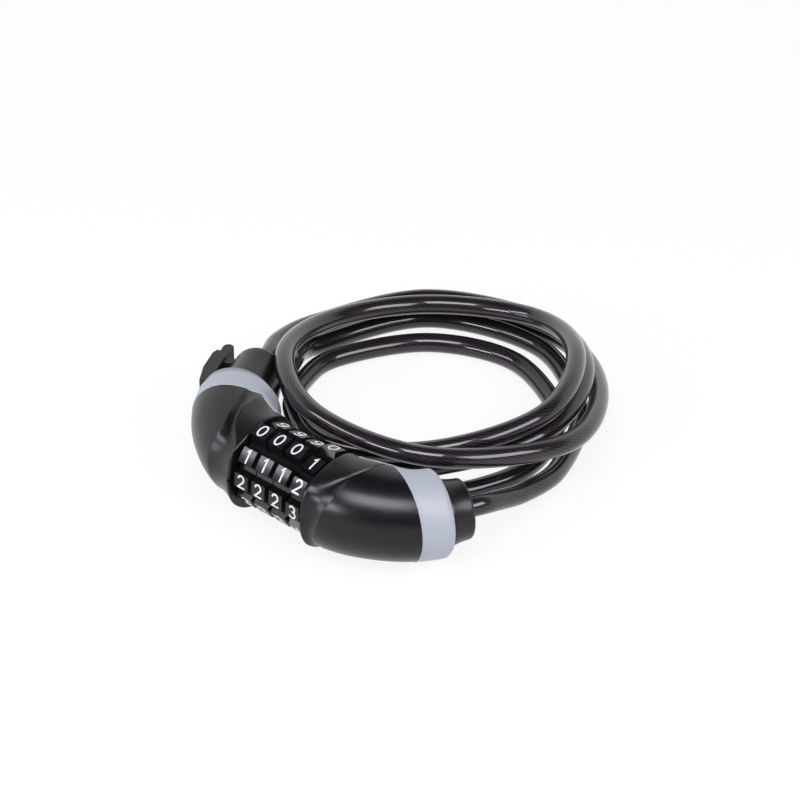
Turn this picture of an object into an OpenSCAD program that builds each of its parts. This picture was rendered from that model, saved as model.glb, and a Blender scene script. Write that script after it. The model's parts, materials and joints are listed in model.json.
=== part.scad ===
// Four-dial combination cable lock: two curved housings, a dial stack on a slotted core tube,
// a toothed locking bolt and one length of plastic-covered steel cable wound into a loose coil.
// The dial axis runs along X. The housings bend back toward +Y and the lock lies on Z = 0.

/* [Dials] */
// Spacing of the dials along the axis
dial_pitch = 9; // [9:0.1:10]
// Width of one dial
dial_w = 8.5; // [8:0.1:8.5]
// Radius over the raised pads
pad_r = 17.1; // [16.5:0.1:17.3]
// Radius at the foot of the pads
foot_r = 13.9; // [13.2:0.1:14.2]
// Width across the flat top of a pad
pad_w = 6; // [5:0.1:6.4]
// Raised pads on one dial, one for each digit
pads = 10; // [10]

/* [Housings] */
// Height of the dial axis over the surface the lock lies on
axis_h = 18.5; // [18.5:0.1:20]
// Radius of a housing at its dial face
face_r = 18.5; // [18:0.1:18.5]
// Radius of a housing at its cable end
end_r = 17.1; // [16.5:0.1:17.5]
// Radius of the centre line that the housings bend along
bend_r = 38.7; // [36:0.1:42]
// Angle that each housing turns through
bend = 64; // [55:1:66]
// Depth of the moulded scallop behind the dial face
scallop = 1.1; // [0:0.1:1.2]
// How far the middle of a housing's section lies inside its bend
lean = 0.8; // [0:0.1:1]
// Extra fullness of a housing along the top of the bend's inside
shoulder = 1.2; // [0:0.1:1.4]
// Height of the left housing's cable end against the dial axis
left_rise = 0.8; // [0:0.1:0.8]
// Height of the right housing's cable end against the dial axis
right_rise = -1.3; // [-1.3:0.1:0]

/* [Lock core] */
// Outside radius of the core tube that the dials turn on
tube_r = 6; // [6]
// Radius of the locking bolt
bolt_r = 4.1; // [4:0.05:4.1]
// Reach of the bolt teeth from the axis
tooth_r = 7.6; // [7:0.1:7.6]
// Running clearance on the radius of turning and sliding parts
fit = 0.1; // [0.05:0.01:0.1]

/* [Cable] */
// Diameter over the plastic cover
cable_d = 8; // [7:0.5:8]
// Length of the moulded boot on the bracket side
boot_len = 26.5; // [22:0.5:27]
// Length of the moulded collar on the bolt side
collar_len = 8.5; // [7:0.5:11]

/* [Hidden] */
$fn = 64;

cable_r = cable_d / 2;
stack = 4 * dial_pitch;                 // length of the dial stack
face_x = stack / 2 + 0.5;               // dial face of each housing
arc_len = bend_r * bend * PI / 180;     // centre line of a housing
mid = [-7.7, 15.6];                     // middle of the head's length and depth
dial_lag = [4, 4, 4, 0.5];              // how far each dial stands short of its click, degrees
ring_w = dial_w - 0.1;
web = 4;                                // part of a code ring that the gate is cut through
tube_l = face_x + 5.5;                  // right end of the core tube
pin_r = 1.5;

black = [0.07, 0.07, 0.08];
grey = [0.72, 0.73, 0.77];
steel = [0.7, 0.71, 0.72];

function dial_x(i) = (i - 2.5) * dial_pitch;
function polar(r, a) = [r * cos(a), r * sin(a)];
function smooth(u) = let (v = min(1, max(0, u))) v * v * (3 - 2 * v);
function hollow(u) = u <= 0 || u >= 1 ? 0 : 4 * u * (1 - u);

// ---------- placing ----------
module place() translate([-mid[0], -mid[1], axis_h]) children();
// local Z along the dial axis, local X pointing down
module on_axis(x) translate([x, 0, 0]) rotate([0, 90, 0]) children();
// local X along the cable where it enters a right-hand housing, local -Y outward
module at_end(rise) translate([face_x + bend_r * sin(bend), bend_r * (1 - cos(bend)), rise])
    rotate([0, 0, bend]) children();
module turned(rise, x = 0) at_end(rise) translate([x, 0, 0]) rotate([0, 90, 0]) children();
module left() mirror([1, 0, 0]) children();

// ---------- housings ----------
// Angles run from the top toward the outside of the bend, lengths along the bend from the dial face.
// Two creases cross each housing: the body ends in a ridge, and a concave scallop lies between it and
// a second crease, which reaches the dial face on the outside. The face itself is softly square.
function ridge(a, is_left) = is_left ? (a < 180 ? 9.3 + 18 * pow(max(0, 48 - a) / 66, 2)
        : 9.3 + 29.2 * smooth((a - 180) / 144))
    : a < 180 ? 4.3 + 13.7 * pow(max(0, 138 - a) / 159, 2) : 4.3 + 18 * smooth((a - 180) / 144);
function valley(a) = a < 180 ? max(0.7, 12.2 - 0.254 * a) : 0.7 + 20.6 * smooth((a - 180) / 144);
rim_shape = [[-36, 0.3], [-30, 0.3], [10, -1.3], [35, -0.8], [54, 1], [79, -0.4], [103, 0.5],
    [128, 1.5], [152, 0.9], [165, 0.2], [180, 0], [250, 0], [324, 0.3]];
function skin(s, a, is_left) = let (low = valley(a), high = max(low + 1, ridge(a, is_left)))
    end_r + (face_r - end_r) * pow(1 - s / arc_len, 1.8)
    - 1.5 * pow(max(0, (s - arc_len + 2) / 2), 2)
    - lean * smooth((s - 6) / 16) * sin(a)
    + shoulder * exp(-pow((a > 144 ? a - 324 : a + 36) / 22, 2)) * pow(sin(min(180, 5 * s)), 2)
    + lookup(a, rim_shape) * max(0, 1 - s / high)
    - scallop * hollow((s - low) / (high - low))
        * min(1, (high - low) / 3, max(0, (a + 36) / 30), max(0, (200 - a) / 40));
// Places along the bend at one angle, so that each crease runs along one row of corners
function stations(a, is_left) = let (low = valley(a), high = max(low + 1, ridge(a, is_left)), far = arc_len - 2)
    concat([for (k = [0 : 3]) low * k / 3], [for (k = [1 : 7]) low + (high - low) * k / 7],
        [for (k = [1 : 8]) high + (far - high) * k / 8], [for (k = [1 : 3]) far + 2 * k / 3]);
sides = 40;
module shell(rise, is_left) {
    table = [for (j = [0 : sides - 1]) stations(j * 360 / sides - 36, is_left)];
    n = len(table[0]);
    pts = [for (i = [0 : n - 1]) for (j = [0 : sides - 1])
        let (s = table[j][i], t = s / bend_r * 180 / PI, a = j * 360 / sides - 36, r = skin(s, a, is_left))
            [face_x + bend_r * sin(t) + r * sin(a) * sin(t),
             bend_r * (1 - cos(t)) - r * sin(a) * cos(t),
             r * cos(a) + rise * smooth(s / arc_len)]];
    quads = [for (i = [0 : n - 2]) for (j = [0 : sides - 1])
        let (a = i * sides + j, b = i * sides + (j + 1) % sides)
            each [[a, b, b + sides], [a, b + sides, a + sides]]];
    caps = [[for (j = [sides - 1 : -1 : 0]) j], [for (j = [0 : sides - 1]) (n - 1) * sides + j]];
    polyhedron(pts, concat(quads, caps), convexity = 6);
}
// Everything that belongs to the light band: the cable end beyond an oblique seam, and a tail
// along the inside of the bend that reaches almost to the dials.
module band_region() translate([0, 0, -25]) linear_extrude(50) polygon(concat(
    [[75, -2.5], [35.5, 15.05]],
    [for (t = [34 : -4 : 10]) [face_x, bend_r] + (bend_r - 11) * [sin(t), -cos(t)]],
    [[face_x + 4, bend_r - 27], [face_x + 4, 60], [75, 60]]));
// Cavity for the crimped cable end, and the cable's way out
module cable_way(rise) turned(rise, -13.5) cylinder(r = 5.5, h = 14);
module index_mark() translate([face_x, -face_r - 0.4, 0]) rotate([90, 0, 90])
    linear_extrude(1.6, center = true) polygon([[-1.3, 1.3], [1.3, 0], [-1.3, -1.3]]);

module left_housing() color(black) left() difference() {
    shell(left_rise, true);
    band_region();
    cable_way(left_rise);
    on_axis(face_x - 1) cylinder(r = tube_r, h = 16.5);
    translate([28, 0, -20]) cylinder(r = pin_r, h = 28, $fn = 32);
    index_mark();
}
module right_housing() color(black) difference() {
    shell(right_rise, false);
    band_region();
    cable_way(right_rise);
    on_axis(face_x - 1) cylinder(r = 9.7, h = 2.6);
    on_axis(face_x) cylinder(r = tube_r + 0.3, h = 8);
    on_axis(face_x) cylinder(r = bolt_r, h = 19.5);
    translate([32, 0, -20]) cylinder(r = pin_r, h = 26, $fn = 32);
    index_mark();
}
module band(rise, is_left) color(grey) difference() {
    intersection() {
        shell(rise, is_left);
        band_region();
    }
    cable_way(rise);
    on_axis(face_x - 1) cylinder(r = 9.7, h = 2.6);
}
module left_band() left() band(left_rise, true);
module right_band() band(right_rise, false);

// ---------- cable ends ----------
module trim_ring(r) difference() {
    cylinder(r = r, h = 1.2);
    translate([0, 0, -1]) cylinder(r = cable_r + 0.2, h = 4);
}
module left_trim_ring() color(grey) left() turned(left_rise) trim_ring(14.8);
module right_trim_ring() color(black) turned(right_rise) trim_ring(13.4);
// Moulded sleeve: tapered wall with a rounded end
module sleeve(len, r0, r1, nose) color(black) rotate_extrude() difference() {
    union() {
        polygon([[0, 0], [r0, 0], [r0 * 0.45 + r1 * 0.55, (len - nose) * 0.4], [r1, len - nose],
            [r1 - nose, len - nose], [0, len - nose]]);
        translate([r1 - nose, len - nose]) circle(nose);
        translate([0, len - nose]) square([r1 - nose, nose]);
    }
    translate([-1, -1]) square([cable_r + 1.2, len + 2]);
    translate([-20, -20]) square([20, len + 40]);
}
module cable_boot() left() turned(left_rise, 1.2) sleeve(boot_len, 12.2, 10.5, 4);
module cable_collar() turned(right_rise, 1.2) sleeve(collar_len, 13, 11.8, 1.4);
module ferrule() color(steel) rotate_extrude() difference() {
    polygon([[0, 0], [5, 0], [5.5, 0.6], [5.5, 4], [5.1, 4.6], [5.1, 6.4], [5.5, 7], [5.5, 9],
        [5.1, 9.6], [5.1, 11.4], [5.5, 12], [5.5, 13.5], [0, 13.5]]);
    translate([-1, 1.5]) square([cable_r + 1, 20]);
}
module left_ferrule() left() turned(left_rise, -13.5) ferrule();
module right_ferrule() turned(right_rise, -13.5) ferrule();
module left_roll_pin() color(steel) left() translate([28, 0, -16]) cylinder(r = pin_r, h = 24, $fn = 32);
module right_roll_pin() color(steel) translate([32, 0, -16]) cylinder(r = pin_r, h = 22, $fn = 32);

// Shoe that slides into a frame bracket: a bar beside the boot on a flat arm, with a round-ended
// tongue beyond the arm. Local X runs along the boot, -Y outward.
module bracket_shoe() color(black) left() at_end(left_rise) difference() {
    union() {
        translate([0, 0, -6.6]) linear_extrude(13.2)
            polygon([[1.6, -13], [1.6, -17], [11, -18.7], [22, -18.7], [24.5, -17.8], [24.5, -13]]);
        translate([0, 0, -4.2]) linear_extrude(8.4) union() {
            translate([23, -17.6]) square([8.2, 4.4]);
            translate([31.2, -15.4]) circle(2.2, $fn = 32);
        }
        translate([17.8, -14, -5]) cube([4, 7, 10.6]);
    }
    turned_bore();
}
// The boot's own outside, cut out of the arm that is moulded onto it
module turned_bore() translate([1.2, 0, 0]) rotate([0, 90, 0]) rotate_extrude()
    polygon([[0, 0], [12.2, 0], [11.265, (boot_len - 4) * 0.4], [10.5, boot_len - 4],
        [10.5, boot_len], [0, boot_len]]);

// ---------- lock core ----------
module core_tube() color(steel) difference() {
    on_axis(-face_x - 15.5) cylinder(r = tube_r, h = face_x + 15.5 + tube_l);
    on_axis(-stack / 2 - 3) cylinder(r = bolt_r + fit, h = 60);
    translate([-dial_x(4) - 4.2, -1.3, -8]) cube([60, 2.6, 8]);          // way for the teeth
    translate([-face_x, -2, 5.1]) cube([2 * face_x - 0.4, 4, 2]);         // seat of the leaf spring
    translate([-28, 0, -8]) cylinder(r = pin_r, h = 20, $fn = 32);
}
module detent_spring() color([0.78, 0.6, 0.3]) {
    translate([-face_x + 0.3, -1.8, 5.1]) cube([2 * face_x - 1, 3.6, 0.35]);
    for (i = [1 : 4]) translate([dial_x(i) + 2.2, 0, 5.1]) rotate([90, 0, 0])
        linear_extrude(1.2, center = true) intersection() {
            translate([0, -2.4]) difference() {
                circle(3.6);
                circle(3.25);
            }
            translate([-4, 0]) square([8, 3]);
        }
}
module wave_washer() color(steel) {
    n = 48;
    pts = [for (j = [0 : n - 1]) let (x = 0.1 * sin(j * 360 / n * 3))
        for (q = [[6.3, 0], [9.5, 0], [9.5, 0.3], [6.3, 0.3]])
        [-face_x + 0.1 + x + q[1], each polar(q[0], j * 360 / n)]];
    polyhedron(pts, [for (j = [0 : n - 1]) for (k = [0 : 3]) let (a = 4 * j, b = 4 * ((j + 1) % n), m = (k + 1) % 4)
        each [[a + k, b + k, b + m], [a + k, b + m, a + m]]], convexity = 4);
}
module tooth_gap(l) translate([0, -1.4, -0.5]) cube([8, 2.8, l + 1]);
module spacer_washers() color(steel) for (i = [1 : 3]) on_axis(dial_x(i) + dial_pitch / 2 - 0.15) difference() {
    cylinder(r = 9.2, h = 0.3);
    translate([0, 0, -1]) cylinder(r = tube_r, h = 3);
    tooth_gap(0.3);
}
module stack_retainer() color(steel) on_axis(stack / 2 + 0.05) difference() {
    cylinder(r = 9.2, h = 1.5);
    translate([0, 0, -1]) cylinder(r = tube_r, h = 4);
    tooth_gap(1.5);
}
// Ring keyed into a dial: a pocket that the bolt tooth waits in, then a web that lets the tooth
// through only where its gate is. The bore has one click notch for each digit.
module code_ring(i) color([0.75, 0.65, 0.4]) on_axis(dial_x(i) - ring_w / 2) difference() {
    cylinder(r = 12, h = ring_w);
    translate([0, 0, -1]) cylinder(r = tube_r + fit, h = ring_w + 2);
    translate([0, 0, -1]) cylinder(r = tooth_r + 0.6, h = ring_w - web + 1);
    translate([0, -1.4, -1]) cube([8, 2.8, ring_w + 2]);
    for (k = [0 : pads - 1]) rotate(k * 360 / pads) translate([5.9, 0, ring_w - web - 0.5])
        cylinder(r = 0.8, h = web + 1, $fn = 24);
}
module dial(i) color(black) on_axis(dial_x(i) - dial_w / 2) difference() {
    intersection() {
        linear_extrude(dial_w) polygon([for (k = [0 : pads - 1])
            let (a = 270 - dial_lag[i - 1] + k * 360 / pads, h = asin(pad_w / 2 / pad_r), f = 14.6)
                each [polar(foot_r, a - f), polar(pad_r, a - h), polar(pad_r, a + h), polar(foot_r, a + f)]]);
        rotate_extrude() polygon([[0, 0], [foot_r + 0.1, 0], [foot_r + 0.3, 0.1], [pad_r, 0.85],
            [pad_r, dial_w - 0.85], [foot_r + 0.3, dial_w - 0.1], [foot_r + 0.1, dial_w], [0, dial_w]]);
    }
    translate([0, 0, -1]) cylinder(r = 12, h = dial_w + 2);
}
module dial_1() dial(1);
module dial_2() dial(2);
module dial_3() dial(3);
module dial_4() dial(4);
module code_ring_1() code_ring(1);
module code_ring_2() code_ring(2);
module code_ring_3() code_ring(3);
module code_ring_4() code_ring(4);
module locking_bolt() color(steel) difference() {
    union() {
        on_axis(-stack / 2 - 1) cylinder(r1 = bolt_r - 0.8, r2 = bolt_r, h = 0.8);
        on_axis(-stack / 2 - 0.2) cylinder(r = bolt_r, h = stack / 2 + 0.2 + face_x + 19.5);
        for (i = [1 : 4]) translate([dial_x(i) - 3.4, -1, -tooth_r]) cube([3, 2, tooth_r - 2]);
    }
    translate([32, 0, -8]) cylinder(r = pin_r, h = 14, $fn = 32);
}

// ---------- cable ----------
// Each row is a place on the loose coil: the angle round its middle, going down from the boot, the
// radius there and the height of the cable's middle over the surface.
coil_mid = [-13, 87.5];
turn_dir = 42.9;                        // where angle 0 points, from the dial axis
coil = [[157, 67, 17.5], [135, 65.5, 14.3], [90, 68, 13.2], [45, 68.5, 13.2], [0, 61.8, 20.7],
    [-45, 61, 19], [-90, 57, 13.7], [-112, 54.5, 10.8], [-135, 53, 6.4], [-157, 52.6, 4.2],
    [-180, 54.6, 4.2], [-202, 53.8, 4.2], [-225, 52, 4.2], [-270, 48, 4.2], [-315, 48.5, 4.2],
    [-360, 50.5, 4.2], [-382, 52.8, 4.2], [-405, 57, 4.2], [-425, 59.8, 4.2], [-450, 61, 4.2], [-495, 62, 4.2],
    [-518, 62.2, 4.2], [-540, 64.4, 4.2], [-585, 72.5, 4.2], [-630, 76.2, 4.2], [-675, 74, 4.6],
    [-720, 67.5, 12.8], [-765, 73.5, 21], [-810, 71.5, 28], [-855, 61.5, 28.5],
    [-900, 57, 28.3], [-945, 56, 20.5], [-990, 58, 16.5], [-1035, 61.5, 19], [-1080, 58, 28.7],
    [-1125, 61.5, 28.5], [-1170, 60, 23], [-1215, 58.5, 15.2],
    [-1260, 55, 13.4], [-1282, 59.3, 10.9], [-1305, 63.4, 5.2], [-1350, 67.2, 4.2], [-1395, 63.8, 4.2],
    [-1440, 60, 4.3]];
lead = [[-1462, 62, 4.7], [-1482, 68, 6], [-1492, 72.6, 7.5], [-1505, 79, 10.6]];
function on_coil(p) = [coil_mid[0] + p[1] * cos(p[0] + turn_dir),
    coil_mid[1] + p[1] * sin(p[0] + turn_dir), p[2] - axis_h];
function end_point(x, rise) = [face_x + bend_r * sin(bend) + x * cos(bend),
    bend_r * (1 - cos(bend)) + x * sin(bend), rise];
function flip(p) = [-p[0], p[1], p[2]];
// smooth curve through the places of a list, k pieces from each place to the next
function spline(p, k) = [for (i = [0 : len(p) - 2]) let (a = p[max(0, i - 1)], b = p[i], c = p[i + 1],
    d = p[min(len(p) - 1, i + 2)]) for (j = [0 : k - 1]) let (t = j / k)
        b + 0.5 * t * (c - a + t * (2 * a - 5 * b + 4 * c - d + t * (3 * (b - c) + d - a))), p[len(p) - 1]];
function unit(v) = v / norm(v);
function route(k) = concat(
    [for (x = [-12, 0, 12, boot_len + 1.2, boot_len + 8]) flip(end_point(x, left_rise))],
    [for (p = spline(concat(coil, lead), k)) on_coil(p)],
    [for (x = [collar_len + 8, collar_len + 1.2, 0, -12]) end_point(x, right_rise)]);
cut = 5 + 3 * (len(coil) - 1);          // ring where the coil ends and the lead begins
// One ring of corners square to the route at its point i
function ring(p, i, n) = let (d = unit(p[min(len(p) - 1, i + 1)] - p[max(0, i - 1)]),
    u = unit(cross([0, 0, 1], d)), v = cross(d, u))
    [for (j = [0 : n - 1]) p[i] + cable_r * (cos(j * 360 / n) * u + sin(j * 360 / n) * v)];
module tube(p, from, to, n) {
    m = to - from + 1;
    pts = [for (i = [from : to]) each ring(p, i, n)];
    polyhedron(pts, concat(
        [for (i = [0 : m - 2]) for (j = [0 : n - 1]) let (a = i * n + j, b = i * n + (j + 1) % n)
            each [[a, a + n, b + n], [a, b + n, b]]],
        [for (j = [1 : n - 2]) [0, j, j + 1]],
        [for (j = [1 : n - 2]) [(m - 1) * n, (m - 1) * n + j + 1, (m - 1) * n + j]]), convexity = 12);
}
function total(p, i = 1) = i == len(p) ? 0 : norm(p[i] - p[i - 1]) + total(p, i + 1);
function apart(p, far) = min([for (i = [0 : len(p) - 1 - far]) for (j = [i + far : len(p) - 1]) norm(p[i] - p[j])]);
module cable_coil() color([0.1, 0.09, 0.09]) {
    fine = route(6);
    echo(cable_length = total(fine), least_gap_to_itself = apart(fine, 12) - cable_d);
    tube(route(3), 0, cut, 6);
}
module cable_lead() color([0.1, 0.09, 0.09]) tube(route(3), cut, len(route(3)) - 1, 6);

place() left_housing();
place() left_band();
place() left_trim_ring();
place() cable_boot();
place() left_ferrule();
place() left_roll_pin();
place() core_tube();
place() wave_washer();
place() spacer_washers();
place() stack_retainer();
place() detent_spring();
place() bracket_shoe();
place() dial_1();
place() dial_2();
place() dial_3();
place() dial_4();
place() code_ring_1();
place() code_ring_2();
place() code_ring_3();
place() code_ring_4();
place() right_housing();
place() right_band();
place() right_trim_ring();
place() cable_collar();
place() right_ferrule();
place() right_roll_pin();
place() locking_bolt();
place() cable_coil();
place() cable_lead();
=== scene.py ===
"""Looks of a four-dial combination cable lock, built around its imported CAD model.

Lengths are in millimetres in the frame of the dial axis, whose origin is the middle of the dial
stack: X along the axis, Y back toward the coil, Z up. place() turns them into the row frame. A side
is 1 for the bolt half, on the right, and -1 for the dial half, whose points are mirrored in X.
"""
import json
import math

import bmesh
import bpy
import numpy as np
from mathutils import Matrix, Vector


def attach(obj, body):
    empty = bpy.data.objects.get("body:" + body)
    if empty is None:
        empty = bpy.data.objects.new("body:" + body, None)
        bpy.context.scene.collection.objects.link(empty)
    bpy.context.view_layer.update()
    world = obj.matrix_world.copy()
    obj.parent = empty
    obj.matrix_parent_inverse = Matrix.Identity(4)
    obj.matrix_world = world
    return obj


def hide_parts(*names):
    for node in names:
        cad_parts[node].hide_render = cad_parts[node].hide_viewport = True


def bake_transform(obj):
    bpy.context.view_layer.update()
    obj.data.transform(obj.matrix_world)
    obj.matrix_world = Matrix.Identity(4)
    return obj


MM = 0.001
TAU = 2 * math.pi

# ---------- driving sizes, as in the CAD source ----------
DIAL_PITCH = 9.0
DIAL_W = 8.5
PAD_R = 17.1
FOOT_R = 13.9                             # dial radius between its pads
PAD_W = 6.0
PADS = 10
PAD_STEP = 360 / PADS
DIAL_LAG = [4.0, 4.0, 4.0, 0.5]           # how far each dial stands short of its click, degrees
CODE = [2, 2, 2, 3]                       # digits in the row toward the viewer
AXIS_H = 18.5                             # the dial axis over the floor
FACE_X = 2 * DIAL_PITCH + 0.5             # the housings' faces, either side of the dials
FACE_R = 18.5
END_R = 17.1
BEND_R = 38.7
BEND = math.radians(64)
ARC_LEN = BEND_R * BEND
SCALLOP = 1.1                             # depth of the hollow behind the dial face
LEAN = 0.8                                # how far a section's middle lies inside the bend
SHOULDER = 1.2                            # extra fullness along the top of the bend's inside
RISE = {-1: 0.8, 1: -1.3}                 # height of each half's cable end against the dial axis
CABLE_D = 8.0
BOOT_LEN = 26.5
COLLAR_LEN = 8.5
RING_T = 1.2                              # trim ring under the boot and the collar
END_STEP = {-1: 1.9, 1: 0.0}              # how far the trim ring reaches over each shell's end

# ---------- the photograph's view ----------
AZIMUTH = 42.9
ELEVATION = 33.0
LENS = 148.8
DISTANCE = 1250.0
ASIDE = (38.6, 30.2)                      # the view's middle from the dial axis: right, up

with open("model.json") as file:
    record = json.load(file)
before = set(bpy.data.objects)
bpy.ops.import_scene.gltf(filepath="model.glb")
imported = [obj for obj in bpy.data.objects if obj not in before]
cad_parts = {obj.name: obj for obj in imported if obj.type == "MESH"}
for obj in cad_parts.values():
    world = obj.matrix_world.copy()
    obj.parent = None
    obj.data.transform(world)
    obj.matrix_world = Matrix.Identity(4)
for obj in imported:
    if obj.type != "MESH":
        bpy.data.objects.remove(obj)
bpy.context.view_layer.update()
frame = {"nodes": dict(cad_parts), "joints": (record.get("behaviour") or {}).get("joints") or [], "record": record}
ORIGIN = sum((Vector(j["pos_m"]) for j in frame["joints"] if j["type"] == "hinge"), Vector()) / 4


def place(p):
    """A point of the dial-axis frame in the row frame, in metres."""
    return ORIGIN + Vector(p) * MM


# ---------- nodes and materials ----------
def material(name):
    """A new material, its node tree and its shader."""
    made = bpy.data.materials.new(name)
    made.use_nodes = True
    tree = made.node_tree
    return made, tree, tree.nodes["Principled BSDF"]


def node(tree, kind, **inputs):
    """A new node with inputs set by name, in which _ stands for a space."""
    made = tree.nodes.new(kind)
    for key, value in inputs.items():
        made.inputs[key.replace("_", " ")].default_value = value
    return made


def maths(tree, operation, *values):
    """The outcome of one operation on numbers and other nodes' outputs."""
    made = tree.nodes.new("ShaderNodeMath")
    made.operation = operation
    for socket, value in zip(made.inputs, values):
        if isinstance(value, (int, float)):
            socket.default_value = value
        else:
            tree.links.new(value, socket)
    return made.outputs["Value"]


def noise(tree, scale, detail=3.0, stretch=(1, 1, 1)):
    """Noise in the object's own metres."""
    where = tree.nodes.new("ShaderNodeTexCoord")
    mapping = node(tree, "ShaderNodeMapping", Scale=stretch)
    made = node(tree, "ShaderNodeTexNoise", Scale=scale, Detail=detail)
    tree.links.new(where.outputs["Object"], mapping.inputs["Vector"])
    tree.links.new(mapping.outputs[0], made.inputs["Vector"])
    return made.outputs["Fac"]


def remap(tree, value, low, high, start=0.3, end=0.7):
    """Low to high while the value goes from start to end, between which noise mostly lies."""
    made = node(tree, "ShaderNodeMapRange", From_Min=start, From_Max=end, To_Min=low, To_Max=high)
    tree.links.new(value, made.inputs["Value"])
    return made.outputs["Result"]


def mix(tree, value, a, b):
    """A colour that goes from a to b with the value."""
    made = tree.nodes.new("ShaderNodeMix")
    made.data_type = "RGBA"
    made.inputs["A"].default_value = (*a, 1)
    made.inputs["B"].default_value = (*b, 1)
    tree.links.new(value, made.inputs["Factor"])
    return made.outputs["Result"]


def bump(tree, shader, height, distance, strength=1.0):
    """Fine relief on a shader's normal; the distance is in metres."""
    made = node(tree, "ShaderNodeBump", Strength=strength, Distance=distance)
    tree.links.new(height, made.inputs["Height"])
    tree.links.new(made.outputs["Normal"], shader.inputs["Normal"])


def plastic(name, dark, light, rough, grain, depth, gloss=0.5):
    """Moulded plastic: a fine grain in mm, and a slight drift of colour and gloss."""
    made, tree, shader = material(name)
    drift = noise(tree, 60.0, 4.0)
    tree.links.new(mix(tree, remap(tree, drift, 0, 1), dark, light), shader.inputs["Base Color"])
    tree.links.new(remap(tree, drift, *rough), shader.inputs["Roughness"])
    bump(tree, shader, noise(tree, 1 / (grain * MM), 2.0), depth * MM)
    shader.inputs["Specular IOR Level"].default_value = gloss
    return made


def metal(name, dark, light, rough, stretch=(40, 1, 1)):
    """Turned or drawn metal with fine lines across the dial axis."""
    made, tree, shader = material(name)
    shader.inputs["Metallic"].default_value = 1.0
    lines = noise(tree, 900.0, 3.0, stretch)
    tree.links.new(mix(tree, remap(tree, lines, 0, 1), dark, light), shader.inputs["Base Color"])
    tree.links.new(remap(tree, lines, *rough), shader.inputs["Roughness"])
    bump(tree, shader, lines, 0.01 * MM, 0.4)
    return made


# The twist of the steel cable: mm along it from one to the next, and how many there are round it. A
# negative number is a right-hand lay.
WIRES = (3.4, -18)
STRANDS = (19.6, -3)
STRAND_SHARE = 0.3                        # how much the strands show beside the wires


def cable_material():
    """Clear smoke-tinted cover over twisted steel wires: the wires are drawn by the UV map, whose U
    is the length in mm and V the share of a turn, and the cover is the coat."""
    made, tree, shader = material("cable_cover")
    uv = node(tree, "ShaderNodeUVMap")
    uv.uv_map = "along"
    parts = tree.nodes.new("ShaderNodeSeparateXYZ")
    tree.links.new(uv.outputs[0], parts.inputs[0])

    def waves(length, count):
        along = maths(tree, "MULTIPLY", parts.outputs["X"], 1 / length * TAU)
        turned = maths(tree, "MULTIPLY_ADD", parts.outputs["Y"], count * TAU, along)
        return remap(tree, maths(tree, "SINE", turned), 0, 1, -1, 1)

    both = maths(tree, "MULTIPLY_ADD", waves(*STRANDS), STRAND_SHARE, waves(*WIRES))
    # The stripes follow the real wires, but their light crests are a painted sheen and the dark between them is
    # painted shade.
    colour = mix(tree, both, (0.001, 0.0008, 0.0012), (0.027, 0.021, 0.024))
    tree.links.new(colour, shader.inputs["Base Color"])
    tree.links.new(remap(tree, noise(tree, 90.0), 0.32, 0.38), shader.inputs["Roughness"])
    bump(tree, shader, both, 0.015 * MM, 0.5)
    shader.inputs["Specular IOR Level"].default_value = 0.15
    shader.inputs["Specular Tint"].default_value = (0.96, 0.86, 1.0, 1)
    shader.inputs["Coat Weight"].default_value = 1.0
    shader.inputs["Coat Roughness"].default_value = 0.1
    shader.inputs["Coat IOR"].default_value = 1.46
    return made


# Name, darkest and lightest colour, roughness from and to; then for plastic the size and depth of its
# grain in mm and its gloss, and for metal the stretch of its lines.
HOUSING = plastic("housing_black", (0.0055, 0.0054, 0.0072), (0.009, 0.0088, 0.0115), (0.25, 0.31),
                  0.12, 0.003, 0.36)
BAND = plastic("band_grey", (0.505, 0.547, 0.622), (0.533, 0.575, 0.655), (0.42, 0.5), 0.15, 0.005)
# The trim ring's plastic is the band's grey darkened: a painted shade from the boot beside it.
RING = plastic("ring_grey_painted_shade", (0.34, 0.36, 0.41), (0.38, 0.4, 0.45), (0.42, 0.5), 0.15, 0.005)
BOOT = plastic("boot_black", (0.008, 0.008, 0.0095), (0.013, 0.013, 0.015), (0.26, 0.33),
               0.2, 0.006, 0.34)
SHOE = plastic("shoe_black", (0.008, 0.008, 0.0095), (0.018, 0.018, 0.0205), (0.4, 0.55), 0.45, 0.06)
DIAL = plastic("dial_black", (0.005, 0.005, 0.0065), (0.009, 0.009, 0.0112), (0.18, 0.24),
               0.3, 0.002, 0.36)
PAINT = plastic("digit_white", (0.93, 0.93, 0.95), (0.97, 0.97, 0.985), (0.4, 0.5), 0.2, 0.004)
STEEL = metal("steel", (0.5, 0.51, 0.53), (0.66, 0.67, 0.69), (0.22, 0.36))
BRASS = metal("brass", (0.62, 0.45, 0.18), (0.8, 0.62, 0.3), (0.2, 0.34))
BRONZE = metal("spring_bronze", (0.6, 0.38, 0.2), (0.75, 0.52, 0.3), (0.22, 0.34), (1, 20, 1))
CABLE = cable_material()


# ---------- meshes ----------
def mesh_object(name, points, faces, surface):
    """An object whose points are in the dial-axis frame."""
    mesh = bpy.data.meshes.new(name)
    mesh.from_pydata([place(p) for p in points], [], faces)
    mesh.validate()
    made = bpy.data.objects.new(name, mesh)
    bpy.context.scene.collection.objects.link(made)
    mesh.materials.append(surface)
    soften(made, 30)
    return made


def soften(made, angle):
    """Smooth except at edges sharper than angle, in degrees."""
    for face in made.data.polygons:
        face.use_smooth = True
    made.data.set_sharp_from_angle(angle=math.radians(angle))


def outward(made, triangles=False):
    """Turns the faces outward."""
    bm = bmesh.new()
    bm.from_mesh(made.data)
    if triangles:
        bmesh.ops.triangulate(bm, faces=bm.faces)
    bmesh.ops.recalc_face_normals(bm, faces=bm.faces)
    bm.to_mesh(made.data)
    bm.free()


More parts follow.
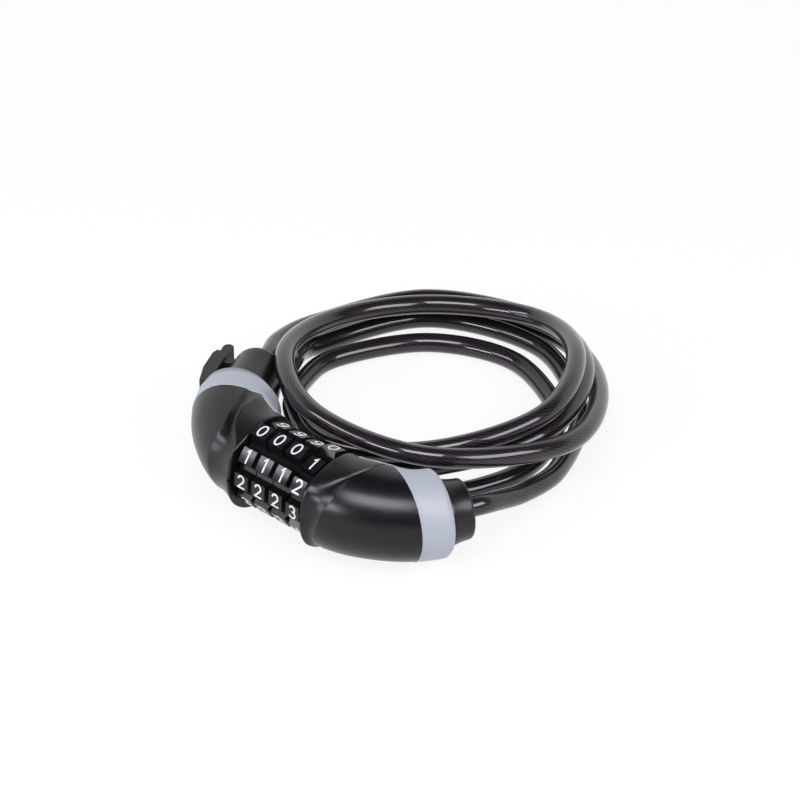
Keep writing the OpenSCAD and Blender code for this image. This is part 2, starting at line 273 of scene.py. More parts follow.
def apply(made):
    """Keeps the shape that the object's modifiers give."""
    graph = bpy.context.evaluated_depsgraph_get()
    mesh = bpy.data.meshes.new_from_object(made.evaluated_get(graph), depsgraph=graph)
    made.modifiers.clear()
    made.data = mesh


def add_bevel(made, width, segments, angle):
    """Rounds the edges sharper than angle, in degrees; the width is in mm."""
    step = made.modifiers.new("edge", "BEVEL")
    step.width = width * MM
    step.segments = segments
    step.limit_method = "ANGLE"
    step.angle_limit = math.radians(angle)
    step.harden_normals = True


def cut(made, by, operation):
    """Cuts one closed mesh by another."""
    step = made.modifiers.new("cut", "BOOLEAN")
    step.operation = operation
    step.object = by
    step.solver = "MANIFOLD"
    apply(made)


def put(made, body, slot, *nodes):
    """Lets a piece ride on its body in place of CAD nodes."""
    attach(made, body)
    if nodes:
        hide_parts(*nodes)


def grid_faces(rows, columns):
    """Quads between rings of points that close on themselves."""
    return [(i * columns + j, i * columns + (j + 1) % columns,
             (i + 1) * columns + (j + 1) % columns, (i + 1) * columns + j)
            for i in range(rows - 1) for j in range(columns)]


def loop_faces(rows, columns):
    """The same quads, and those from the last ring back to the first."""
    last = (rows - 1) * columns
    return grid_faces(rows, columns) + [(last + j, last + (j + 1) % columns, (j + 1) % columns, j)
                                        for j in range(columns)]


def unit(vectors):
    return vectors / np.linalg.norm(vectors, axis=-1, keepdims=True)


def rings(line, first, second, radius, sides):
    """A ring of points about each point of a line, in the plane of its first and second vector."""
    turn = np.arange(sides) * TAU / sides
    return (line[:, None] + radius * (np.cos(turn)[None, :, None] * first[:, None]
                                      + np.sin(turn)[None, :, None] * second[:, None])).reshape(-1, 3)


def mirrored(points, side):
    return [(side * p[0], p[1], p[2]) for p in points]


# ---------- cable ----------
# Each row is a place on the loose coil: the angle round its middle, the radius there and the height
# of the cable's middle over the floor.
COIL_MID = (-13.0, 87.5)
TURN_DIR = 42.9
COIL = [(157, 67, 17.5), (135, 65.5, 14.3), (90, 68, 13.2), (45, 68.5, 13.2), (0, 61.8, 20.7),
        (-45, 61, 19), (-90, 57, 13.7), (-112, 54.5, 10.8), (-135, 53, 6.4), (-157, 52.6, 4.2),
        (-180, 54.6, 4.2), (-202, 53.8, 4.2), (-225, 52, 4.2), (-270, 48, 4.2), (-315, 48.5, 4.2),
        (-360, 50.5, 4.2), (-382, 52.8, 4.2), (-405, 57, 4.2), (-425, 59.8, 4.2), (-450, 61, 4.2),
        (-495, 62, 4.2), (-518, 62.2, 4.2), (-540, 64.4, 4.2), (-585, 72.5, 4.2), (-630, 76.2, 4.2),
        (-675, 74, 4.6), (-720, 67.5, 12.8), (-765, 73.5, 21), (-810, 71.5, 28), (-855, 61.5, 28.5),
        (-900, 57, 28.3), (-945, 56, 20.5), (-990, 58, 16.5), (-1035, 61.5, 19), (-1080, 58, 28.7),
        (-1125, 61.5, 28.5), (-1170, 60, 23), (-1215, 58.5, 15.2), (-1260, 55, 13.4),
        (-1282, 59.3, 10.9), (-1305, 63.4, 5.2), (-1350, 67.2, 4.2), (-1395, 63.8, 4.2),
        (-1440, 60, 4.3)]
LEAD = [(-1462, 62, 4.7), (-1482, 68, 6), (-1492, 72.6, 7.5), (-1505, 79, 10.6)]
CABLE_SIDES = 32
CABLE_STEP = 1.5                          # length of the cable's straight pieces
COIL_PIECES = 12                          # pieces of the smooth line between two places of the coil
EASE_TIMES = 6
IN_BOOT = (8, 14)                         # the cable's first places, beyond the dial half's end
IN_BOLT_HALF = (0, -12)                   # its last places, from the bolt half's end inward
LEAD_OUT = 8                              # straight stretch beyond the boot and the collar


def on_coil(p):
    """A place of the tables above as a point."""
    angle = math.radians(p[0] + TURN_DIR)
    return np.array([COIL_MID[0] + p[1] * math.cos(angle), COIL_MID[1] + p[1] * math.sin(angle),
                     p[2] - AXIS_H])


def end_point(x, side=1):
    """A point on the cable's middle line, x beyond the end of a housing."""
    return np.array([side * (FACE_X + BEND_R * math.sin(BEND) + x * math.cos(BEND)),
                     BEND_R * (1 - math.cos(BEND)) + x * math.sin(BEND), RISE[side]])


def spline(points, pieces):
    """A smooth line through the points, in so many pieces between each two."""
    made = []
    for i in range(len(points) - 1):
        a, b, c, d = (points[min(max(i + k, 0), len(points) - 1)] for k in (-1, 0, 1, 2))
        for t in (j / pieces for j in range(pieces)):
            cubic = 3 * (b - c) + d - a
            made.append(b + 0.5 * t * (c - a + t * (2 * a - 5 * b + 4 * c - d + t * cubic)))
    return made + [points[-1]]


def run(line):
    """How far along a line each of its points lies."""
    return np.concatenate([[0], np.cumsum(np.linalg.norm(np.diff(line, axis=0), axis=1))])


def evenly(line, step):
    """The same line in equal steps."""
    line = np.array(line)
    along = run(line)
    spots = np.linspace(0, along[-1], max(2, int(round(along[-1] / step)) + 1))
    return np.column_stack([np.interp(spots, along, line[:, k]) for k in range(3)])


def eased(line, times):
    """The same line with its small kinks worked out; both ends stay."""
    for _ in range(times):
        line[1:-1] = (line[:-2] + 2 * line[1:-1] + line[2:]) / 4
    return line


def tube(name, line, first_mm):
    """A closed length of cable along a line, with U in mm from first_mm and V round it."""
    ahead = unit(np.gradient(line, axis=0))
    beside = unit(np.cross([0, 0, 1.0], ahead))
    points = rings(line, beside, np.cross(ahead, beside), CABLE_D / 2, CABLE_SIDES)
    faces = grid_faces(len(line), CABLE_SIDES)
    faces += [tuple(range(CABLE_SIDES)), tuple(range(len(points) - CABLE_SIDES, len(points)))]
    made = mesh_object(name, points.tolist(), faces, CABLE)
    outward(made)
    soften(made, 50)
    along = first_mm + run(line)
    layer = made.data.uv_layers.new(name="along")
    for face in made.data.polygons:
        spots = [made.data.loops[i].vertex_index for i in face.loop_indices]
        wraps = len(spots) == 4 and {0, CABLE_SIDES - 1} <= {v % CABLE_SIDES for v in spots}
        for i, v in zip(face.loop_indices, spots):
            share = v % CABLE_SIDES / CABLE_SIDES
            layer.data[i].uv = (along[v // CABLE_SIDES], share + 1 if wraps and share == 0 else share)
    return made


def cable():
    """The whole cable in two lengths: the coil rides on the dial half, and the last stretch stays where it is laid
    in the row frame."""
    boot_mouth, collar_mouth = BOOT_LEN + RING_T, COLLAR_LEN + RING_T
    start = [end_point(x, -1) for x in (*IN_BOOT, boot_mouth, BOOT_LEN + LEAD_OUT)]
    rows = spline([on_coil(p) for p in COIL + LEAD], COIL_PIECES)
    finish = [end_point(x) for x in (COLLAR_LEN + LEAD_OUT, collar_mouth, *IN_BOLT_HALF)]
    line = eased(evenly(start + rows + finish, CABLE_STEP), EASE_TIMES)
    half = len(line) // 2
    split = half + int(np.argmin(np.linalg.norm(line[half:] - on_coil(COIL[-1]), axis=1)))
    coil_line, lead_line = line[:split + 1], line[split:]
    coil = tube("cable_turns", coil_line, 0)
    lead = tube("cable_last_stretch", lead_line, run(coil_line)[-1])
    put(coil, "dial_half", "cable_cover", "cable_coil")
    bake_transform(lead)
    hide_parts("cable_lead")


# ---------- camera ----------
def camera():
    a, e = math.radians(AZIMUTH), math.radians(ELEVATION)
    look = Vector((-math.sin(a) * math.cos(e), math.cos(a) * math.cos(e), -math.sin(e)))
    right = Vector((math.cos(a), math.sin(a), 0))
    up = right.cross(look)
    data = bpy.data.cameras.new("camera")
    data.lens = LENS
    data.clip_start, data.clip_end = 0.05, 20
    made = bpy.data.objects.new("camera", data)
    stand = place(-DISTANCE * look + ASIDE[0] * right + ASIDE[1] * up)
    turn = Matrix((right, up, -look)).transposed().to_4x4()
    made.matrix_world = Matrix.Translation(stand) @ turn
    bpy.context.scene.collection.objects.link(made)
    bpy.context.scene.camera = made


# ---------- housings ----------
# Angles round a housing run in degrees from its top over the outside of the bend. Each round begins
# and ends on the inside, at FIRST and LAST, where the section has its shoulder.
FIRST = -36
LAST = FIRST + 360

# The two creases, in mm along the bend. Each lies nearest the dials at the outside of the bend and
# moves away from them toward the inside, both over the top and below.
RIDGE_LOW = {-1: 9.3, 1: 4.3}
RIDGE_TOP = {-1: (18, 48, 66), 1: (13.7, 138, 159)}     # mm moved, angle it ends at, degrees it takes
RIDGE_UNDER = {-1: 29.2, 1: 18}
VALLEY_LOW = 0.7
VALLEY_TOP = 12.2                         # at angle 0
VALLEY_SLOPE = 0.254                      # mm a degree
VALLEY_UNDER = 20.6
UNDER_FROM, UNDER_SPAN = 180, 144         # angles over which both move away below

# How far the rim of the dial face stands out of round, by angle
RIM_AT = [-36, -30, 10, 35, 54, 79, 103, 128, 152, 165, 180, 250, 324]
RIM_BY = [0.3, 0.3, -1.3, -0.8, 1, -0.4, 0.5, 1.5, 0.9, 0.2, 0, 0, 0.3]
RIM_BLUR = np.linspace(-6, 6, 9)
RIM = 0.4                                 # rounding of the rim at the dial face
END_ROUND = 1.5                           # how far the far end is drawn in, over its last END_LEN
END_LEN = 2
TAPER = 1.8                               # power by which the radius falls from FACE_R to END_R
LEAN_FROM, LEAN_SPAN = 6, 16
SHOULDER_SPREAD = 22                      # degrees
HOLLOW_MIN = 3                            # width under which the hollow grows shallower


def smooth(u):
    """From 0 to 1 with u, with a soft start and end."""
    u = min(1.0, max(0.0, u))
    return u * u * (3 - 2 * u)


def ridge(a, side):
    """Where the outer crease lies."""
    if a >= UNDER_FROM:
        return RIDGE_LOW[side] + RIDGE_UNDER[side] * smooth((a - UNDER_FROM) / UNDER_SPAN)
    moved, until, span = RIDGE_TOP[side]
    return RIDGE_LOW[side] + moved * (max(0, until - a) / span) ** 2


def valley(a):
    """Where the inner crease lies."""
    if a >= UNDER_FROM:
        return VALLEY_LOW + VALLEY_UNDER * smooth((a - UNDER_FROM) / UNDER_SPAN)
    return max(VALLEY_LOW, VALLEY_TOP - VALLEY_SLOPE * a)


def skin(s, a, side):
    """Radius of a housing at s mm along its bend."""
    low = valley(a)
    high = max(low + 1, ridge(a, side))
    share = (s - low) / (high - low)
    hollow = 4 * share * (1 - share) if 0 < share < 1 else 0
    fade = min(1, (high - low) / HOLLOW_MIN, max(0, (a - FIRST) / 30), max(0, (200 - a) / 40))
    beside = (a - LAST if a > 144 else a - FIRST) / SHOULDER_SPREAD
    rim = float(np.interp(a + RIM_BLUR, RIM_AT, RIM_BY).mean())
    drawn_in = min(1, max(0, (s - ARC_LEN + END_LEN + END_STEP[side]) / END_LEN))
    return (END_R + (FACE_R - END_R) * max(0, 1 - s / ARC_LEN) ** TAPER
            - END_ROUND * drawn_in ** 2
            - LEAN * smooth((s - LEAN_FROM) / LEAN_SPAN) * math.sin(math.radians(a))
            + SHOULDER * math.exp(-beside ** 2) * math.sin(math.radians(min(180, 5 * s))) ** 2
            + rim * max(0, 1 - s / high)
            - SCALLOP * hollow * fade
            - RIM * max(0, 1 - s / RIM) ** 2)


def on_shell(s, a, side, lift=0.0):
    """A point of a shell, lifted off its skin; the dial half's still has to be mirrored."""
    t, r, turn = s / BEND_R, skin(s, a, side) + lift, math.radians(a)
    return (FACE_X + BEND_R * math.sin(t) + r * math.sin(turn) * math.sin(t),
            BEND_R * (1 - math.cos(t)) - r * math.sin(turn) * math.cos(t),
            r * math.cos(turn) + RISE[side] * smooth(s / ARC_LEN))


def stations(a, side):
    """Places along the bend for one angle, with the two creases on the same rows all round."""
    low = max(valley(a), RIM + 0.3)
    high = max(low + 1, ridge(a, side))
    last = ARC_LEN - END_STEP[side]
    spans = [(0, RIM, 4), (RIM, low, 10), (low, high, 16), (high, last - END_LEN, 36),
             (last - END_LEN, last, 10)]
    return [start + (end - start) * i / n for start, end, n in spans for i in range(n)] + [last]


def shell(name, side, surface):
    columns = 160
    angles = [j * 360 / columns + FIRST for j in range(columns)]
    table = [stations(a, side) for a in angles]
    rows = len(table[0])
    points = [on_shell(table[j][i], angles[j], side) for i in range(rows) for j in range(columns)]
    last, first_mid, last_mid = (rows - 1) * columns, len(points), len(points) + 1
    points += [(FACE_X, 0, 0), tuple(end_point(-END_STEP[side]))]
    faces = grid_faces(rows, columns)
    for j in range(columns):
        beyond = (j + 1) % columns
        faces += [(first_mid, j, beyond), (last_mid, last + j, last + beyond)]
    made = mesh_object(name, mirrored(points, side), faces, surface)
    outward(made)
    return made


# The seam between housing and band, seen from above: an oblique edge from SEAM_FAR to SEAM_CORNER,
# then a tail along the inside of the bend, which ends TAIL_END beyond the dial face.
SEAM_FAR = (75, -2.5)
SEAM_CORNER = (35.5, 15.05)
SEAM_ACROSS = np.array([SEAM_CORNER[1] - SEAM_FAR[1], SEAM_FAR[0] - SEAM_CORNER[0]])
SEAM_GAP = 0.06                           # half the gap in it
TAIL_R = {-1: BEND_R - 11, 1: BEND_R - 9.8}
TAIL_FROM, TAIL_TO = 34, 10               # degrees along the bend
TAIL_END = 4.0
TAIL_SIDE = BEND_R - 27                   # Y of the corner at the tail's end
CUT_Y = 60                                # reach of the cutters, beyond the housings
CUT_Z = 25
NOTCH = (0.8, 0.7)                        # index notch at the dial face: half its length and height
NOTCH_FLOOR = 17.6                        # its distance from the dial axis
BEAD_R = 0.32
BEAD_SUNK = 0.08                          # how far its middle lies under the skin
BEAD_SIDES = 8
BEAD_STEP = 0.05                          # shortest piece of it


def tail(side, gap, count):
    """The tail's edge, moved by gap into the band."""
    r = TAIL_R[side] - gap
    return [(FACE_X + r * math.sin(t), BEND_R - r * math.cos(t))
            for t in np.radians(np.linspace(TAIL_FROM, TAIL_TO, count))]


def seam(side, gap):
    """Outline of what lies on the band's side of the seam, which is moved by gap into the band."""
    x, y = SEAM_ACROSS / math.hypot(*SEAM_ACROSS) * gap
    end = FACE_X + TAIL_END + gap
    return [(SEAM_FAR[0] + x, SEAM_FAR[1] + y), (SEAM_CORNER[0] + x, SEAM_CORNER[1] + y),
            *tail(side, gap, 13), (end, TAIL_SIDE), (end, CUT_Y), (SEAM_FAR[0] + x, CUT_Y)]


def cutter(outline, high, side):
    """An upright prism, as high over the dial axis as under it."""
    n = len(outline)
    points = [(side * x, y, z) for z in (-high, high) for x, y in outline]
    faces = [tuple(range(n)), tuple(range(n, 2 * n))]
    faces += [(i, (i + 1) % n, n + (i + 1) % n, n + i) for i in range(n)]
    made = mesh_object("cutter", points, faces, HOUSING)
    outward(made, triangles=True)
    return made


def crossing(f, low, high):
    """Where f changes sign between low and high."""
    rising = f(high) > f(low)
    for _ in range(30):
        middle = (low + high) / 2
        if (f(middle) > 0) == rising:
            high = middle
        else:
            low = middle
    return (low + high) / 2


def wrapped(a):
    """The same angle between FIRST and LAST."""
    return (a - FIRST) % 360 + FIRST


def seam_places(side):
    """The seam on the skin as (place along the bend, angle), all the way round."""
    def off_axis(s, a):
        """How far out of the bend's line the skin stands, seen from above."""
        return skin(s, wrapped(a), side) * math.sin(math.radians(a))

    def on_slant(a):
        """Where the oblique edge crosses the skin at one angle."""
        def past(s):
            return SEAM_ACROSS @ (np.array(on_shell(s, wrapped(a), side)[:2]) - SEAM_CORNER)
        return crossing(past, 4, ARC_LEN)

    def at_plan(x, y, below):
        """The place of the skin that lies over a point of the plan, or below it."""
        s = BEND_R * math.atan2(x - FACE_X, BEND_R - y)
        out = math.hypot(x - FACE_X, BEND_R - y) - BEND_R
        ends = (90, 270) if below else (-90, 90)
        return s, crossing(lambda a: off_axis(s, a) - out, *ends)

    top = [at_plan(*p, False) for p in tail(side, 0, 25)]
    bottom = [at_plan(*p, True) for p in tail(side, 0, 25)]
    corners = at_plan(*SEAM_CORNER, False)[1], at_plan(*SEAM_CORNER, True)[1]
    slant = [(on_slant(a), a) for a in np.linspace(*corners, 90)]
    end = []
    for a in np.linspace(top[-1][1], bottom[-1][1] - 360, 30):
        s = TAIL_END / BEND_R
        for _ in range(12):
            s = BEND_R * math.asin(TAIL_END / (BEND_R + off_axis(s, a)))
        end.append((s, a))
    return slant + bottom + end[::-1] + top[::-1]


def bead(name, side):
    """Thin raised border of the light band, along its seam."""
    places = seam_places(side)
    low = np.array([on_shell(s, wrapped(a), side, -BEAD_SUNK) for s, a in places])
    high = np.array([on_shell(s, wrapped(a), side, 1 - BEAD_SUNK) for s, a in places])
    keep = np.concatenate([[True], np.linalg.norm(np.diff(low, axis=0), axis=1) > BEAD_STEP])
    low, out = low[keep], (high - low)[keep]
    ahead = unit(np.roll(low, -1, axis=0) - np.roll(low, 1, axis=0))
    points = rings(low, out, unit(np.cross(out, ahead)), BEAD_R, BEAD_SIDES)
    made = mesh_object(name, mirrored(points.tolist(), side), loop_faces(len(low), BEAD_SIDES), BAND)
    outward(made)
    soften(made, 60)
    return made


def housing(name, side, body):
    black = shell(name + "_shell", side, HOUSING)
    light = shell(name + "_band_shell", side, BAND)
    wide = cutter(seam(side, -SEAM_GAP), CUT_Z, side)
    cut(black, wide, "DIFFERENCE")
    narrow = cutter(seam(side, SEAM_GAP), CUT_Z, side)
    cut(light, narrow, "INTERSECT")
    near, far = FACE_X - NOTCH[0], FACE_X + NOTCH[0]
    outline = [(near, -NOTCH_FLOOR), (near, -CUT_Z), (far, -CUT_Z), (far, -NOTCH_FLOOR)]
    notch = cutter(outline, NOTCH[1], side)
    cut(black, notch, "DIFFERENCE")
    for used in (wide, narrow, notch):
        bpy.data.objects.remove(used)
    for made in (black, light):
        soften(made, 24)
    put(black, body, "housing_black", name + "_housing")
    put(light, body, "band_grey", name + "_band")
    put(bead(name + "_band_edge", side), body, "band_grey")


# ---------- turned pieces round the cable ----------
BORE_R = CABLE_D / 2 + 0.15
LATHE_SIDES = 96


def lathe(name, profile, x, side, surface):
    """A ring turned about the cable's line, from x beyond a housing's end on; its profile is
    (along, radius)."""
    c, s = math.cos(BEND), math.sin(BEND)
    base_x, base_y, _ = end_point(x)
    points = []
    for along, r in profile:
        for j in range(LATHE_SIDES):
            t = j * TAU / LATHE_SIDES
            points.append((base_x + along * c + r * math.sin(t) * s,
                           base_y + along * s - r * math.sin(t) * c, RISE[side] + r * math.cos(t)))
    faces = loop_faces(len(profile), LATHE_SIDES)
    made = mesh_object(name, mirrored(points, side), faces, surface)
    outward(made)
    soften(made, 30)
    return made


def sleeve_profile(length, r0, r1, nose):
    """A sleeve that tapers from r0 to r1 and has a round nose."""
    straight = length - nose
    body = [(0, r0)]
    body += [(straight * u, r0 + (r1 - r0) * (1 - (1 - u) ** 1.6)) for u in np.linspace(0.1, 1, 10)]
    tip = [(straight + nose * math.sin(t), r1 - nose + nose * math.cos(t))
           for t in np.radians(np.arange(10, 91, 10))]
    return body + tip + [(length, BORE_R), (0, BORE_R)]


def turned_pieces():
    boot = lathe("boot_sleeve", sleeve_profile(BOOT_LEN, 12.2, 10.5, 4), RING_T, -1, BOOT)
    put(boot, "dial_half", "boot_black", "cable_boot")
    profile = [(-2.1, 15.8), (0.5, 15.8), (0.8, 15.5), (0.8, 12), (-2.1, 12)]
    # The ring takes the darker copy of the band's plastic, a painted shade.
    ring = lathe("grey_ring", profile, 0, -1, RING)
    put(ring, "dial_half", "band_grey", "left_trim_ring")
    collar = lathe("collar_sleeve", sleeve_profile(COLLAR_LEN, 13, 11.8, 1.4), RING_T, 1, BOOT)
    put(collar, "bolt_half", "boot_black", "cable_collar")


# ---------- dials ----------
CROWN = 0.14                              # how far the middle of a pad stands over its edges
ZERO_PROUD = 1.9                          # how far the pad of the zero stands over the others
PAD_FOOT = 14.6                           # half the angle that a pad's foot takes up
PAD_EASE = 0.02                           # how far a pad's flat lies under its full radius
DIAL_BORE_R = 12
DIGIT_H = 5.1
STROKE_W = 0.75
STROKE_PIECE = 0.6                        # longest straight piece of a stroke
PAINT_TOP, PAINT_FOOT = 0.05, -0.1        # over the pad


def dial_x(i):
    return (i - 2.5) * DIAL_PITCH


def pad_angle(i, digit):
    """Where a digit's pad stands on dial i, from the top toward the viewer."""
    return PAD_STEP * (digit - CODE[i - 1]) + 90 - DIAL_LAG[i - 1]


def bulge(t):
    """Height of a pad's crown at t mm from its middle."""
    return CROWN * (1 - min(1, abs(2 * t / PAD_W)) ** 2)


def dial(i):
    """A dial with ten raised pads: flat tops, steep flanks and chamfered sides. Pads are counted by
    their digit."""
    tops = [PAD_R + (ZERO_PROUD if k == 0 else 0) for k in range(PADS)]
    halves = [math.degrees(math.asin(PAD_W / 2 / top)) for top in tops]
    flats = [top * math.cos(math.radians(half)) - PAD_EASE for top, half in zip(tops, halves)]
    # Place across the dial, and how far the pads rise there: in mm, and as a share of their height
    near = [(0, 0.05, 0), (0.12, 0.3, 0), (0.85, 0, 1)]
    slices = near + [(DIAL_W - x, over, share) for x, over, share in near[::-1]]
    points = []
    for x, over, share in slices:
        for k, (top, half, flat) in enumerate(zip(tops, halves, flats)):
            most = FOOT_R + over + share * (top - FOOT_R)
            edge = PAD_FOOT + (half - PAD_FOOT) * (most - FOOT_R) / (top - FOOT_R)
            across = [edge * part for part in (-1, -0.67, -0.33, 0, 0.33, 0.67, 1)]
            for turn in (-PAD_FOOT, *across, PAD_FOOT):
                t = math.radians(turn)
                crowned = (flat + bulge(flat * math.tan(t))) / math.cos(t)
                r = FOOT_R if abs(turn) == PAD_FOOT else min(most, crowned)
                a = math.radians(pad_angle(i, k) + turn)
                points.append((x, -r * math.sin(a), r * math.cos(a)))
    count = 9 * PADS
    faces = grid_faces(len(slices), count)
    bore = len(points)
    for x in (0, DIAL_W):
        for a in (TAU * j / count for j in range(count)):
            points.append((x, -DIAL_BORE_R * math.sin(a), DIAL_BORE_R * math.cos(a)))
    shift = round((pad_angle(i, 0) - PAD_FOOT) / 360 * count)
    last = (len(slices) - 1) * count
    for j in range(count):
        beyond = (j + 1) % count
        a, b = bore + (j + shift) % count, bore + (j + 1 + shift) % count
        faces += [(j, beyond, b, a), (last + j, last + beyond, b + count, a + count),
                  (a, b, b + count, a + count)]
    x0 = dial_x(i) - DIAL_W / 2
    made = mesh_object(f"numbered_dial_{i}", [(p[0] + x0, p[1], p[2]) for p in points], faces, DIAL)
    outward(made)
    add_bevel(made, width=0.16, segments=2, angle=22)
    apply(made)
    put(made, f"dial_body_{i}", "dial_black", f"dial_{i}")
    digits(i, flats)


def arc(x, y, rx, ry, start, end, count=14):
    return [(x + rx * math.cos(t), y + ry * math.sin(t))
            for t in np.radians(np.linspace(start, end, count))]


# Strokes of the ten digits in a box one high; a stroke whose ends meet is closed.
STROKES = [
    [arc(0, 0, 0.3, 0.5, 0, 360, 29)],
    [[(-0.13, 0.33), (0.06, 0.5), (0.06, -0.5)]],
    [arc(0, 0.22, 0.28, 0.28, 165, -35) + [(-0.3, -0.5), (0.31, -0.5)]],
    [arc(0, 0.25, 0.25, 0.25, 150, -75) + arc(0, -0.23, 0.29, 0.27, 80, -150)],
    [[(0.13, -0.5), (0.13, 0.5), (-0.3, -0.2), (0.32, -0.2)]],
    [[(0.26, 0.5), (-0.2, 0.5), (-0.24, 0.06)] + arc(-0.01, -0.18, 0.29, 0.32, 125, -145)],
    [arc(0.05, 0, 0.34, 0.5, 60, 180) + arc(0, -0.2, 0.28, 0.3, 180, 540, 27)],
    [[(-0.29, 0.5), (0.29, 0.5), (-0.08, -0.5)]],
    [arc(0, 0.25, 0.24, 0.25, -90, 270, 23), arc(0, -0.24, 0.29, 0.26, 90, 450, 25)],
    [arc(-0.05, 0, 0.34, 0.5, 240, 360) + arc(0, 0.2, 0.28, 0.3, 0, 360, 27)],
]


def ribbon(path, width):
    """Outline pairs of a stroke: for each point, its left and right edge, with rounded ends; and
    whether it closes on itself."""
    corners = [np.array(p) for p in path]
    path = corners[:1]
    for p, q in zip(corners, corners[1:]):
        pieces = max(1, math.ceil(np.linalg.norm(q - p) / STROKE_PIECE))
        path += [p + (q - p) * k / pieces for k in range(1, pieces + 1)]
    closed = np.linalg.norm(path[0] - path[-1]) < 1e-6
    made = []
    for i, p in enumerate(path):
        before = unit(p - (path[i - 1] if i else (path[-2] if closed else 2 * p - path[1])))
        last = i + 1 == len(path)
        after = unit(((path[1] if closed else 2 * p - path[-2]) if last else path[i + 1]) - p)
        across = unit(np.array([-(before + after)[1], (before + after)[0]]))
        reach = width / 2 / max(0.5, across @ np.array([-after[1], after[0]]))
        made.append((p + reach * across, p - reach * across))
    if closed:
        return made, True
    caps = []
    for p, q, order in ((path[0], path[1], 1), (path[-1], path[-2], -1)):
        out = unit(p - q)
        across = np.array([-out[1], out[0]]) * -order
        caps.append([(p + width / 2 * (math.sin(t) * out + math.cos(t) * across),
                      p + width / 2 * (math.sin(t) * out - math.cos(t) * across))
                     for t in np.radians([75, 50, 25])])
    return caps[0] + made + caps[1][::-1], False


def digits(i, flats):
    """The ten painted digits of a dial, as thin raised strokes."""
    points, faces = [], []
    for k in range(PADS):
        turn = math.radians(pad_angle(i, k))
        out = np.array([0, -math.sin(turn), math.cos(turn)])
        up = np.array([0, math.cos(turn), math.sin(turn)])
        for stroke in STROKES[k]:
            pairs, closed = ribbon([(x * DIGIT_H, y * DIGIT_H) for x, y in stroke], STROKE_W)
            base = len(points)
            for pair in pairs:
                for lift in (PAINT_TOP, PAINT_FOOT):
                    for x, y in pair:
                        height = flats[k] + bulge(y) + lift
                        points.append(np.array([dial_x(i) + x, 0, 0]) + y * up + height * out)
            n = len(pairs)
            for a in range(n if closed else n - 1):
                m, q = base + 4 * a, base + 4 * ((a + 1) % n)
                faces += [(m, m + 1, q + 1, q), (m + 2, m + 3, q + 3, q + 2),
                          (m, m + 2, q + 2, q), (m + 1, m + 3, q + 3, q + 1)]
            if not closed:
                last = base + 4 * (n - 1)
                faces += [(base, base + 1, base + 3, base + 2), (last, last + 1, last + 3, last + 2)]
    made = mesh_object(f"digits_{i}", [tuple(p) for p in points], faces, PAINT)
    outward(made)
    soften(made, 40)
    put(made, f"dial_body_{i}", "dial_black")


# ---------- CAD nodes that keep their shape ----------
def dress():
    """Gives every node its material, and the bracket's shoe its rounded edges."""
    surfaces = {"steel": STEEL, "brass": BRASS, "spring_bronze": BRONZE, "boot_black": BOOT,
                "shoe_black": SHOE, "housing_black": HOUSING, "band_grey": BAND, "dial_black": DIAL,
                "cable_cover": CABLE}
    for part in frame["record"]["subparts"]:
        o = frame["nodes"][part["node"]]
        o.data.materials.clear()
        o.data.materials.append(surfaces[part["material_slot"]])
        if not o.hide_render:
            soften(o, 30)
    add_bevel(frame["nodes"]["bracket_shoe"], width=0.6, segments=3, angle=30)


# ---------- floor and light ----------
WORLD_LIGHT = 0.36
SHADOW_SHARE = 0.2                        # how much of the floor's own light and shade shows
FLOOR_WHITE = 0.86
FLOOR_GLOW = 1.09
CEILING = 0.04                            # what gloss sees over the object, beside the softboxes
SWEEP = (0.02, 0.58)                      # height of the white backdrop before and behind the object
SWEEP_SPAN = (-0.2, 0.5)                  # over which it rises
SWEEP_SOFT = 0.22                         # height of its soft edge
LAMP_TINT = (0.955, 0.935, 1.0)
FILL_SHARE = 0.34                         # how much of a lamp's power lights everything
LAMP_FAR = {"light": 1, "shine": 1.02}    # distance of each of a lamp's two parts, in metres

# Name, azimuth from the dial axis, elevation, size in metres, power
SOFTBOXES = [("front", -132, 34, (0.55, 0.18), 3.2),
             ("strip", -126, 10, (0.45, 0.22), 1.8),
             ("low", -97, 24, (0.4, 0.16), 3.6),
             ("above", -57, 60, (0.6, 0.38), 8.2),
             ("right", 7, 38, (0.65, 0.42), 7.5)]


def background_share(tree):
    """1 for what the camera, a reflection or clear plastic sees, 0 for light that falls on things."""
    path = tree.nodes.new("ShaderNodeLightPath")
    seen = maths(tree, "MAXIMUM", path.outputs["Is Camera Ray"], path.outputs["Is Glossy Ray"])
    return maths(tree, "MAXIMUM", seen, path.outputs["Is Transmission Ray"])


def softbox(name, azimuth, elevation, size, power):
    """A lamp that faces the row frame's origin. Part of its power lights everything, and the rest
    only shows as gloss."""
    a, e = math.radians(azimuth), math.radians(elevation)
    toward = Vector((math.cos(a) * math.cos(e), math.sin(a) * math.cos(e), math.sin(e)))
    for part, share in (("light", FILL_SHARE), ("shine", 1 - FILL_SHARE)):
        data = bpy.data.lights.new(f"{name}_{part}", "AREA")
        data.shape = "RECTANGLE"
        data.size, data.size_y = size
        data.energy = power * share
        data.color = LAMP_TINT
        made = bpy.data.objects.new(f"{name}_{part}", data)
        made.location = toward * LAMP_FAR[part]
        made.rotation_euler = toward.to_track_quat("Z", "Y").to_euler()
        made.visible_diffuse = part == "light"
        bpy.context.scene.collection.objects.link(made)


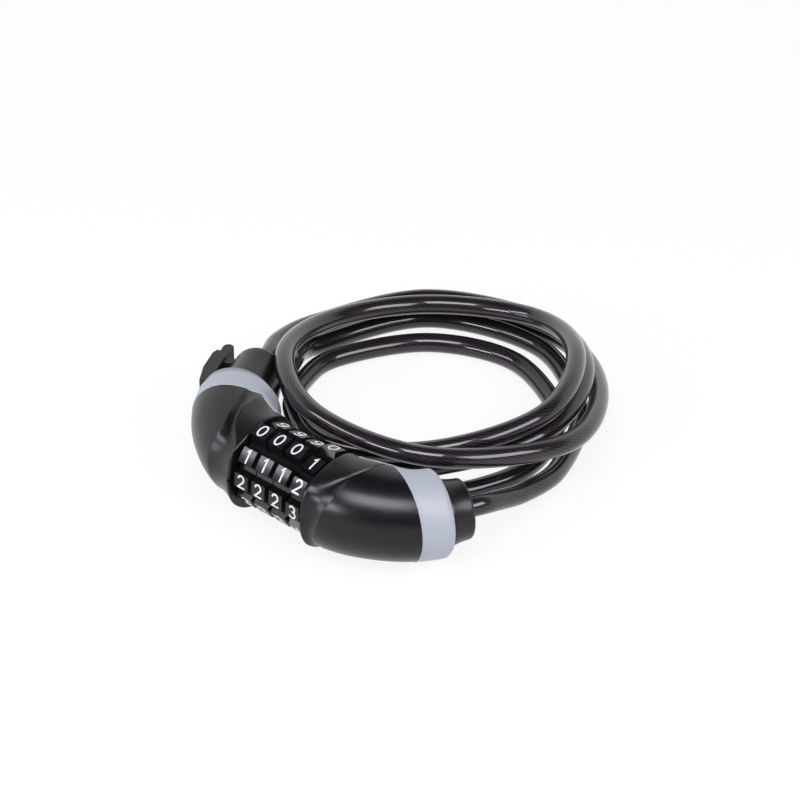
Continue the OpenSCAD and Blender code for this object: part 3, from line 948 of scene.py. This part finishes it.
def surroundings():
    """White to the camera. Gloss sees a white backdrop behind the object and a dark room above, and
    what falls on things is even."""
    world = bpy.data.worlds.new("world")
    bpy.context.scene.world = world
    world.use_nodes = True
    tree = world.node_tree
    back = tree.nodes["Background"]
    back.inputs["Color"].default_value = (1, 1, 1, 1)
    where = tree.nodes.new("ShaderNodeTexCoord")
    parts = tree.nodes.new("ShaderNodeSeparateXYZ")
    tree.links.new(where.outputs["Generated"], parts.inputs[0])
    away = node(tree, "ShaderNodeVectorMath")
    away.operation = "DOT_PRODUCT"
    a = math.radians(AZIMUTH)
    away.inputs[1].default_value = (-math.sin(a), math.cos(a), 0)
    tree.links.new(where.outputs["Generated"], away.inputs[0])
    edge = remap(tree, away.outputs["Value"], *SWEEP, *SWEEP_SPAN)
    over = maths(tree, "SUBTRACT", parts.outputs["Z"], edge)
    dim = remap(tree, over, 1.0, CEILING, 0.0, SWEEP_SOFT)
    path = tree.nodes.new("ShaderNodeLightPath")
    seen = node(tree, "ShaderNodeMix", B=1.0)
    tree.links.new(path.outputs["Is Camera Ray"], seen.inputs["Factor"])
    tree.links.new(dim, seen.inputs["A"])
    lit = node(tree, "ShaderNodeMix", A=WORLD_LIGHT)
    tree.links.new(background_share(tree), lit.inputs["Factor"])
    tree.links.new(seen.outputs["Result"], lit.inputs["B"])
    tree.links.new(lit.outputs["Result"], back.inputs["Strength"])


def studio():
    """Surroundings, floor and lamps."""
    surroundings()
    bpy.ops.mesh.primitive_plane_add(size=6, location=(0, 0, -0.0002))
    floor = bpy.context.object
    floor.name = "floor"
    surface, tree, shader = material("floor_white")
    shader.inputs["Base Color"].default_value = (FLOOR_WHITE, FLOOR_WHITE, FLOOR_WHITE, 1)
    shader.inputs["Roughness"].default_value = 0.6
    glow = node(tree, "ShaderNodeEmission", Strength=FLOOR_GLOW)
    blend = tree.nodes.new("ShaderNodeMixShader")
    share = remap(tree, background_share(tree), 0, 1 - SHADOW_SHARE, 0, 1)
    tree.links.new(share, blend.inputs["Fac"])
    tree.links.new(shader.outputs[0], blend.inputs[1])
    tree.links.new(glow.outputs[0], blend.inputs[2])
    tree.links.new(blend.outputs[0], tree.nodes["Material Output"].inputs["Surface"])
    floor.data.materials.append(surface)
    for lamp in SOFTBOXES:
        softbox(*lamp)


bpy.context.scene.view_settings.view_transform = "Standard"
camera()
cable()
housing("right", 1, "bolt_half")
housing("left", -1, "dial_half")
turned_pieces()
for number in (1, 2, 3, 4):
    dial(number)
dress()
studio()
